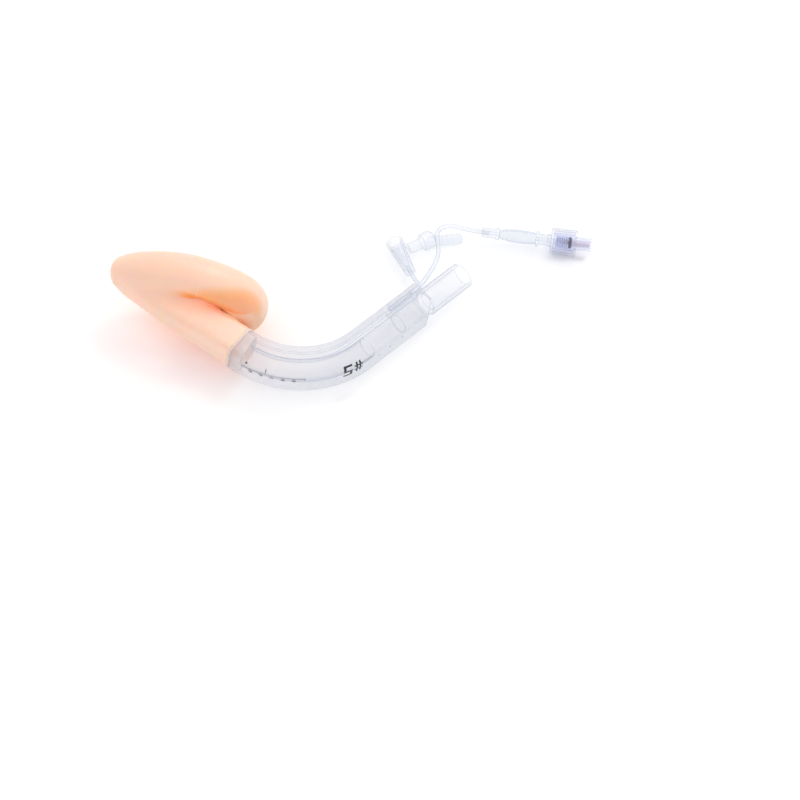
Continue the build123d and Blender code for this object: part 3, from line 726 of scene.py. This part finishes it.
def slot_outline(grow=0.0, n=20):
    r = 5.7 + grow
    out = []
    for i in range(n + 1):
        g = math.pi * i / n
        out.append((-1.3 + r * math.cos(g), 1.0 + r * math.sin(g)))
    for i in range(n + 1):
        g = math.pi + math.pi * i / n
        out.append((-1.3 + r * math.cos(g), -1.0 + r * math.sin(g)))
    return out


def ring_outline(x, c, r, n=16):
    return [(x + r * math.cos(2 * math.pi * i / n), c + r * math.sin(2 * math.pi * i / n)) for i in range(n)]


bends = [47 + 51 * TURN * k / 40 for k in range(1, 41)]
runs = [0.0, 7.0, 14.0, 20.0, 30.0, 43.0, 47.0]
bm = bmesh.new()


def add_loop(points):
    vs = [bm.verts.new(q) for q in points]
    return vs, [bm.edges.new((vs[i], vs[(i + 1) % len(vs)])) for i in range(len(vs))]


def skin(stations, index, choose=None):
    """A wall through a list of (u, outline); gives its first and last loops."""
    first = last = prev = None
    for u, outline in stations:
        vs, es = add_loop(station(u, outline))
        if prev:
            for i in range(len(vs)):
                j = (i + 1) % len(vs)
                f = bm.faces.new((prev[i], prev[j], vs[j], vs[i]))
                f.material_index = choose(u) if choose else index
        else:
            first = es
        prev, last = vs, es
    return first, last


def cap(*loops):
    geo = bmesh.ops.triangle_fill(bm, use_beauty=True, edges=[e for l in loops for e in l])
    for f in geo["geom"]:
        if isinstance(f, bmesh.types.BMFace):
            f.material_index = 0


outside = rounded(19.6 / 2, 21.2 / 2, 5.2, 9)
pocket = rounded(19.6 / 2 - 1.5, 21.2 / 2 - 1.5, 3.7, 9)
inside_us = [u for u in runs + bends if u < POCKET_U - 0.5] + [POCKET_U]
out0, out1 = skin([(u, outside) for u in runs + bends], 0)
lum0, lum1 = skin([(u, slot_outline(0.04)) for u in runs if u <= 43] + [(43.0, slot_outline())]
                  + [(u, slot_outline()) for u in inside_us if u > 43], 1, lambda u: 3 if u <= 43 else 1)
inf0, inf1 = skin([(u, ring_outline(6.9, 4.3, 1.25)) for u in runs if u <= 20] + [(20.0, ring_outline(6.9, 4.3, 0.7))]
                  + [(u, ring_outline(6.9, 4.3, 0.7)) for u in inside_us if u > 20], 2)
sam0, sam1 = skin([(u, ring_outline(6.9, -4.3, 1.25)) for u in runs if u <= 20] + [(20.0, ring_outline(6.9, -4.3, 1.1))]
                  + [(u, ring_outline(6.9, -4.3, 1.1)) for u in inside_us if u > 20], 2)
poc0, poc1 = skin([(POCKET_U, pocket), (0.5 * (POCKET_U + END_U), pocket), (END_U, pocket)], 0)
cap(out0, lum0, inf0, sam0)
cap(poc0, lum1, inf1, sam1)
cap(out1, poc1)
bmesh.ops.recalc_face_normals(bm, faces=bm.faces)
for f in bm.faces:
    f.smooth = True
for e in bm.edges:
    if len(e.link_faces) == 2:
        e.smooth = e.calc_face_angle(0) < math.radians(40)
me = bpy.data.meshes.new("tube_wall")
bm.to_mesh(me)
bm.free()
tube = bpy.data.objects.new("tube_wall", me)
bpy.context.scene.collection.objects.link(tube)
for m in (M_TUBE, M_LUMEN, M_SMALL, M_BONDED):
    me.materials.append(m)
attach(tube, "airway")
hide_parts("airway_tube")


# connector: the free cone and its bore, then the stem in the tube
bm = bmesh.new()


def circle_outline(r, n=72):
    return [(-1.3 + r * math.cos(2 * math.pi * i / n), r * math.sin(2 * math.pi * i / n)) for i in range(n)]


def straight(rows, index):
    """A wall through (a, outline) on the straight axis; gives its first and last loops."""
    first = last = prev = None
    for a_, outline in rows:
        vs, es = add_loop([at(a_, x, c) * MM for x, c in outline])
        if prev:
            for i in range(len(vs)):
                j = (i + 1) % len(vs)
                f = bm.faces.new((prev[i], prev[j], vs[j], vs[i]))
                f.material_index = index
        else:
            first = es
        prev, last = vs, es
    return first, last


c0, c1 = straight([(0.0, circle_outline(7.5)), (28.3, circle_outline(7.5)), (28.6, circle_outline(7.25)),
                   (28.6, circle_outline(6.05)), (28.35, circle_outline(5.8))], 0)
c2, c3 = straight([(28.35, circle_outline(5.8)), (2.0, circle_outline(5.8)), (2.0, circle_outline(4.7))], 1)
c4, c5 = straight([(2.0, circle_outline(4.7)), (-20.0, circle_outline(4.7))], 2)
c6, c7 = straight([(-20.0, slot_outline(-0.04)), (0.0, slot_outline(-0.04))], 2)
cap(c7, c0)
cap(c5, c6)
bmesh.ops.remove_doubles(bm, verts=bm.verts, dist=1e-7)
bmesh.ops.recalc_face_normals(bm, faces=bm.faces)
for f in bm.faces:
    f.smooth = True
for e in bm.edges:
    if len(e.link_faces) == 2:
        e.smooth = e.calc_face_angle(0) < math.radians(30)
me = bpy.data.meshes.new("connector_cone")
bm.to_mesh(me)
bm.free()
cone = bpy.data.objects.new("connector_cone", me)
bpy.context.scene.collection.objects.link(cone)
for m in (M_CONN, M_CONN_BORE, M_BONDED):
    me.materials.append(m)
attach(cone, "airway")
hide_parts("connector_15mm")


def bead(name, u, outline, r, mat, ring=8):
    """A thin round bead along an outline across the tube."""
    a, b, t = centre(u)
    pts = station(u if u else 1e-6, outline)
    head = E1 * -math.cos(t) + E2 * math.sin(t)
    verts, faces = [], []
    n = len(pts)
    for i, q in enumerate(pts):
        along_ = (pts[(i + 1) % n] - pts[i - 1]).normalized()
        out_ = along_.cross(head).normalized()
        for j in range(ring):
            g = 2 * math.pi * j / ring
            verts.append(q + (out_ * math.cos(g) + head * math.sin(g)) * r * MM)
    for i in range(n):
        k = (i + 1) % n
        for j in range(ring):
            l = (j + 1) % ring
            faces.append((i * ring + j, i * ring + l, k * ring + l, k * ring + j))
    ob = new_object(name, verts, faces)
    assign(ob, mat)
    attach(ob, "airway")
    return ob


def spaced(outline, step=1.2):
    """The same outline with long sides divided."""
    out = []
    n = len(outline)
    for i in range(n):
        (x0, c0), (x1, c1) = outline[i], outline[(i + 1) % n]
        k = max(1, int(math.hypot(x1 - x0, c1 - c0) / step))
        if math.hypot(x1 - x0, c1 - c0) < 1e-6:
            continue
        out += [(x0 + (x1 - x0) * j / k, c0 + (c1 - c0) * j / k) for j in range(k)]
    return out


bead("joint_bead", END_U - 0.1, spaced(rounded(19.6 / 2 + 0.02, 21.2 / 2 + 0.02, 5.2, 9)), 0.34, M_BEAD)
bead("bite_end_bead", 43.15, spaced(slot_outline(-0.15)), 0.26, M_BEAD)
bead("stem_end_bead", 20.1, spaced(slot_outline(-0.15)), 0.20, M_BEAD)

# ---------------------------------------------------------------------------
# CAD nodes that keep their shape
# ---------------------------------------------------------------------------
KEEP = {
    "bite_block": M_BITE, "inflation_line_root": M_LINE, "valve_seal": M_SEAL,
    "valve_plunger": M_STEM, "port_line": M_PORT, "port_plug": M_PORT,
}
for name, mat in KEEP.items():
    assign(nodes[name], mat)

# ---------------------------------------------------------------------------
# turned and moulded small pieces: the solids' own half sections (distance along
# the axis, radius), finely turned, with their edges slightly broken
# ---------------------------------------------------------------------------
PD = math.radians(-8.9)
P_DIR = Vector((math.cos(PD), math.sin(PD), 0))
P_SIDE = P_DIR.cross(Vector((0, 0, 1)))
P_UP = Vector((0, 0, 1))
P_ORG = Vector((104.05, 53.35, 7.25))


def broken(section, r=0.14):
    """The closed section with each corner cut by r."""
    out = []
    n = len(section)
    for i in range(n):
        p0, p1, p2 = (Vector(section[i - 1]), Vector(section[i]), Vector(section[(i + 1) % n]))
        d0, d1 = p0 - p1, p2 - p1
        c0 = min(r, d0.length * 0.35)
        c1 = min(r, d1.length * 0.35)
        q0, q1 = p1 + d0.normalized() * c0, p1 + d1.normalized() * c1
        mid = (q0 + q1) / 2 * 0.5 + p1 * 0.5
        out += [tuple(q0), tuple(mid), tuple(q1)]
    return out


def turned(name, start, along_, section, mat, node_name, ring=72):
    along_ = Vector(along_).normalized()
    side = along_.cross(Vector((0, 0, 1))).normalized()
    up = side.cross(along_)
    rows = broken(section)
    verts, faces = [], []
    n = len(rows)
    for i in range(ring):
        g = 2 * math.pi * i / ring
        out_ = side * math.cos(g) + up * math.sin(g)
        verts += [(Vector(start) + along_ * t + out_ * r) * MM for t, r in rows]
    for i in range(ring):
        j = (i + 1) % ring
        for k in range(n):
            l = (k + 1) % n
            faces.append((i * n + k, j * n + k, j * n + l, i * n + l))
    ob = new_object(name, verts, faces)
    bm = bmesh.new()
    bm.from_mesh(ob.data)
    bmesh.ops.recalc_face_normals(bm, faces=bm.faces)
    bm.to_mesh(ob.data)
    bm.free()
    shade_by_angle(ob, 50)
    assign(ob, mat)
    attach(ob, "airway")
    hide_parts(node_name)
    return ob


front_sleeve = turned("front_sleeve", P_ORG, P_DIR,
                      [(0, 1.225), (0, 2.1), (1.2, 2.6), (7.9, 2.7), (8.0, 3.3), (9.7, 3.3), (9.9, 2.4), (9.9, 1.0),
                       (5.0, 1.0), (5.0, 1.225)], M_SLEEVE, "pilot_front_sleeve")
rear_sleeve = turned("rear_sleeve", P_ORG, P_DIR,
                     [(30.4, 1.2), (30.4, 4.2), (31.9, 4.2), (32.0, 3.0), (37.0, 2.9), (37.1, 3.4), (38.9, 3.4),
                      (38.9, 1.2)], M_SLEEVE, "pilot_rear_sleeve")
shroud = turned("shroud", P_ORG, P_DIR,
                [(38.9, 1.2), (38.9, 6.9), (39.3, 7.25), (53.0, 7.25), (53.4, 6.9), (53.4, 3.8), (52.2, 3.8),
                 (52.2, 6.1), (40.3, 6.1), (40.3, 1.2)], M_SHROUD, "valve_shroud", 96)
body = turned("luer_body", P_ORG, P_DIR,
              [(40.34, 1.2), (40.34, 4.7), (52.1, 4.7), (52.1, 3.75), (60.2, 3.25), (60.2, 3.8), (61.4, 3.8),
               (61.4, 2.1), (51.2, 2.1), (50.4, 3.5), (41.6, 3.5), (41.6, 1.2)], M_BLUE, "valve_body")
F0, F1 = Vector((64.2, 24.71, 6.6)), Vector((54.75, 47.84, 5.6))
FL = (F1 - F0).length
funnel = turned("funnel", F0, F1 - F0,
                [(0, 1.225), (0, 2.3), (0.6, 2.9), (FL - 2.2, 4.6), (FL - 2.0, 5.0), (FL - 0.4, 5.0), (FL, 4.7),
                 (FL, 4.0), (7.0, 1.9), (5.0, 1.0), (5.0, 1.225)], M_PORT, "port_funnel")

# balloon: a film bag through upright oval stations
BAG = [(9.9, 2.2, 2.4), (12.4, 2.5, 3.6), (16.0, 2.8, 4.4), (20.5, 3.0, 4.7), (25.0, 3.0, 4.5), (28.5, 3.0, 3.9),
       (30.4, 3.0, 3.3)]


def bag(name, stations, wall, ring=64, per=6):
    table = np.array(stations)
    ts = []
    for i in range(len(table) - 1):
        ts += list(np.linspace(i, i + 1, per, endpoint=False))
    ts.append(len(table) - 1)
    rows = []
    for x in ts:
        i = min(int(x), len(table) - 2)
        f = x - i
        p0, p1, p2, p3 = (table[max(i - 1, 0)], table[i], table[i + 1], table[min(i + 2, len(table) - 1)])
        rows.append(0.5 * (2 * p1 + (p2 - p0) * f + (2 * p0 - 5 * p1 + 4 * p2 - p3) * f * f
                           + (3 * p1 - p0 - 3 * p2 + p3) * f ** 3))
    loops = [(t, a, b) for t, a, b in rows] + [(t, a - wall, b - wall) for t, a, b in reversed(rows)]
    verts, faces = [], []
    for t, a, b in loops:
        for i in range(ring):
            g = 2 * math.pi * i / ring
            verts.append((P_ORG + P_DIR * float(t) + P_SIDE * (float(a) * math.cos(g)) + P_UP * (float(b) * math.sin(g))) * MM)
    for k in range(len(loops)):
        l = (k + 1) % len(loops)
        for i in range(ring):
            j = (i + 1) % ring
            faces.append((k * ring + i, k * ring + j, l * ring + j, l * ring + i))
    ob = new_object(name, verts, faces)
    bm = bmesh.new()
    bm.from_mesh(ob.data)
    bmesh.ops.recalc_face_normals(bm, faces=bm.faces)
    bm.to_mesh(ob.data)
    bm.free()
    shade_by_angle(ob, 50)
    return ob


balloon = bag("balloon_bag", BAG, 0.5)
assign(balloon, M_BALLOON)
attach(balloon, "airway")
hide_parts("pilot_balloon")

# ---------------------------------------------------------------------------
# valve spring: a coil of wire
# ---------------------------------------------------------------------------
def coil(name, t0, t1, radius, wire, turns, steps=22, ring=10):
    verts, faces = [], []
    total = int(turns * steps)
    for i in range(total + 1):
        k = i / total
        ease = k
        ang = 2 * math.pi * turns * k
        t = t0 + wire + (t1 - t0 - 2 * wire) * ease
        c = P_ORG + P_DIR * t + (P_SIDE * math.cos(ang) + P_UP * math.sin(ang)) * radius
        out = P_SIDE * math.cos(ang) + P_UP * math.sin(ang)
        for j in range(ring):
            b = 2 * math.pi * j / ring
            verts.append((c + out * math.cos(b) * wire + P_DIR * math.sin(b) * wire) * MM)
    for i in range(total):
        for j in range(ring):
            a = i * ring + j
            b = i * ring + (j + 1) % ring
            faces.append((a, b, b + ring, a + ring))
    faces.append(tuple(range(ring))[::-1])
    faces.append(tuple(total * ring + j for j in range(ring)))
    return new_object(name, verts, faces)


spring = coil("spring_coil", 41.6, 48.9, 2.55, 0.34, 5.5)
assign(spring, M_SPRING)
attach(spring, "airway")
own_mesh(spring)
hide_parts("valve_spring")

# ---------------------------------------------------------------------------
# printed scale and size number on the tube
# ---------------------------------------------------------------------------
TB, TC, TR = 19.6 / 2, 21.2 / 2, 5.2


def tube_skin(u, w, lift=0.06):
    """Point on the tube's skin: u along it, w round it from the middle of its upper side to its back."""
    a, b, t = centre(u)
    flat = TB - TR
    corner = TR * math.pi / 2
    s = 1 if w > 0 else -1
    aw = abs(w)
    if aw <= flat:
        x, c = -s * aw, TC + lift
    elif aw < flat + corner:
        g = (aw - flat) / TR
        x, c = -s * (flat + (TR + lift) * math.sin(g)), TC - TR + (TR + lift) * math.cos(g)
    else:
        x, c = -s * (TB + lift), TC - TR - (aw - flat - corner)
    return at(a + x * math.sin(t), b + x * math.cos(t), c) * MM


def printed(name, pieces):
    """Flat shapes (corners in u, w) laid on the tube as thin ink."""
    bm = bmesh.new()
    for poly in pieces:
        n = len(poly)
        low = [bm.verts.new(tube_skin(u, w, 0.0)) for u, w in poly]
        top = [bm.verts.new(tube_skin(u, w, 0.07)) for u, w in poly]
        bm.faces.new(top)
        bm.faces.new(low[::-1])
        for i in range(n):
            j = (i + 1) % n
            bm.faces.new((low[i], low[j], top[j], top[i]))
    bmesh.ops.recalc_face_normals(bm, faces=bm.faces)
    me = bpy.data.meshes.new(name)
    bm.to_mesh(me)
    bm.free()
    ob = bpy.data.objects.new(name, me)
    bpy.context.scene.collection.objects.link(ob)
    assign(ob, M_INK)
    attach(ob, "airway")
    return ob


def bar(u0, u1, w0, w1, cut=1.2):
    """A rectangle, divided so that it follows the skin."""
    out = []
    nu = max(1, int(abs(u1 - u0) / cut + 0.5))
    nw = max(1, int(abs(w1 - w0) / cut + 0.5))
    for i in range(nu):
        for j in range(nw):
            a, b = u0 + (u1 - u0) * i / nu, u0 + (u1 - u0) * (i + 1) / nu
            c, d = w0 + (w1 - w0) * j / nw, w0 + (w1 - w0) * (j + 1) / nw
            out.append([(a, c), (b, c), (b, d), (a, d)])
    return out


def disc(u, w, r, n=14):
    return [[(u + r * math.cos(2 * math.pi * i / n), w + r * math.sin(2 * math.pi * i / n)) for i in range(n)]]


def digits(text, u, w, height, width=None, stroke=None):
    """Plain figures made of strokes: their right is towards the machine end, their top towards w smaller."""
    width = width or height * 0.56
    st = stroke or height * 0.15
    out = []
    seg = {
        "0": "abcdef", "1": "bc", "2": "abged", "3": "abgcd", "4": "fgbc", "5": "afgcd",
        "6": "afgedc", "7": "abc", "8": "abcdefg", "9": "abcdfg",
    }
    for ch in text:
        x0, x1 = u, u - width
        t, mid, b = w, w + height / 2, w + height
        rows = {"a": (t, t + st), "g": (mid - st / 2, mid + st / 2), "d": (b - st, b)}
        if ch == "#":
            for k in (0.30, 0.70):
                c = u - width * k
                out += bar(c + st / 2, c - st / 2, t, b)
                r0 = t + height * (k - 0.02)
                out += bar(x0, x1, r0 - st / 2, r0 + st / 2)
        else:
            for name in seg[ch]:
                if name in rows:
                    out += bar(x0, x1, *rows[name])
                elif name in "fb":
                    c = x0 if name == "f" else x1 + st
                    out += bar(c, c - st, t, mid)
                else:
                    c = x0 if name == "e" else x1 + st
                    out += bar(c, c - st, mid, b)
        u -= width * 1.35
    return out


marks = []
def track(u):
    return 12.6 + (u - 100.5) * 0.066


for i in range(30):
    u = 110.6 - i
    w = track(u)
    marks += bar(u + 0.2, u - 0.2, w, w + (1.8 if i % 5 == 4 else 1.1))
marks += bar(99.65, 99.3, 9.0, 11.6)
marks += disc(109.0, 10.0, 0.55)
for i in range(6):
    marks += disc(53.4 - i * 0.95, 10.3, 0.22, 8)
for u, w in ((43.0, 14.7), (35.0, 14.2), (26.0, 14.2)):
    marks += disc(u, w, 0.5)
printed("scale_marks", marks)
figures = []
for u, text in ((106.6, "10"), (101.6, "12"), (96.6, "14"), (91.6, "16"), (86.6, "18")):
    figures += digits(text, u + 1.3, track(u) + 2.1, 1.6, width=1.0, stroke=0.34)
printed("scale_figures", figures)
printed("size_figure", digits("5", 63.3, 8.2, 8.6, width=4.3, stroke=1.2) + digits("#", 57.9, 8.2, 8.0, width=4.3, stroke=0.85))

# ---------------------------------------------------------------------------
# floor and light
# ---------------------------------------------------------------------------
floor = new_object("floor", [(-4, -4, 0), (4, -4, 0), (4, 4, 0), (-4, 4, 0)], [(0, 1, 2, 3)], smooth=False)
mf, nt, out = material("floor_white")
pf = node(nt, "ShaderNodeBsdfPrincipled")
pf.inputs["Roughness"].default_value = 0.9
pf.inputs["Specular IOR Level"].default_value = 0.1
nf = noise(nt, 3.0)
cf = ramp(nt, nf.outputs["Fac"], [(0.3, (0.93, 0.93, 0.935)), (0.7, (0.94, 0.94, 0.945))])
nt.links.new(cf.outputs["Color"], pf.inputs["Base Color"])
nt.links.new(pf.outputs[0], out.inputs["Surface"])
assign(floor, mf)
floor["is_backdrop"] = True

world = bpy.data.worlds.new("world")
bpy.context.scene.world = world
world.use_nodes = True
bg = world.node_tree.nodes["Background"]
bg.inputs["Color"].default_value = (1, 1, 1, 1)
bg.inputs["Strength"].default_value = 0.92

sun_data = bpy.data.lights.new("key", "SUN")
sun_data.energy = 0.95
sun_data.angle = math.radians(16)
sun = bpy.data.objects.new("key", sun_data)
bpy.context.scene.collection.objects.link(sun)
# from the back right, 50 degrees up
d = Vector((-0.36, -0.46, -0.81))
sun.rotation_euler = d.to_track_quat("-Z", "Y").to_euler()

def plain(b):
    if isinstance(b, dict):
        return {k: plain(v) for k, v in b.items()}
    return [[float(c) for c in v] if hasattr(v, "__len__") else float(v) for v in b]


{"cad": plain(cad_box), "visual": plain(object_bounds())}
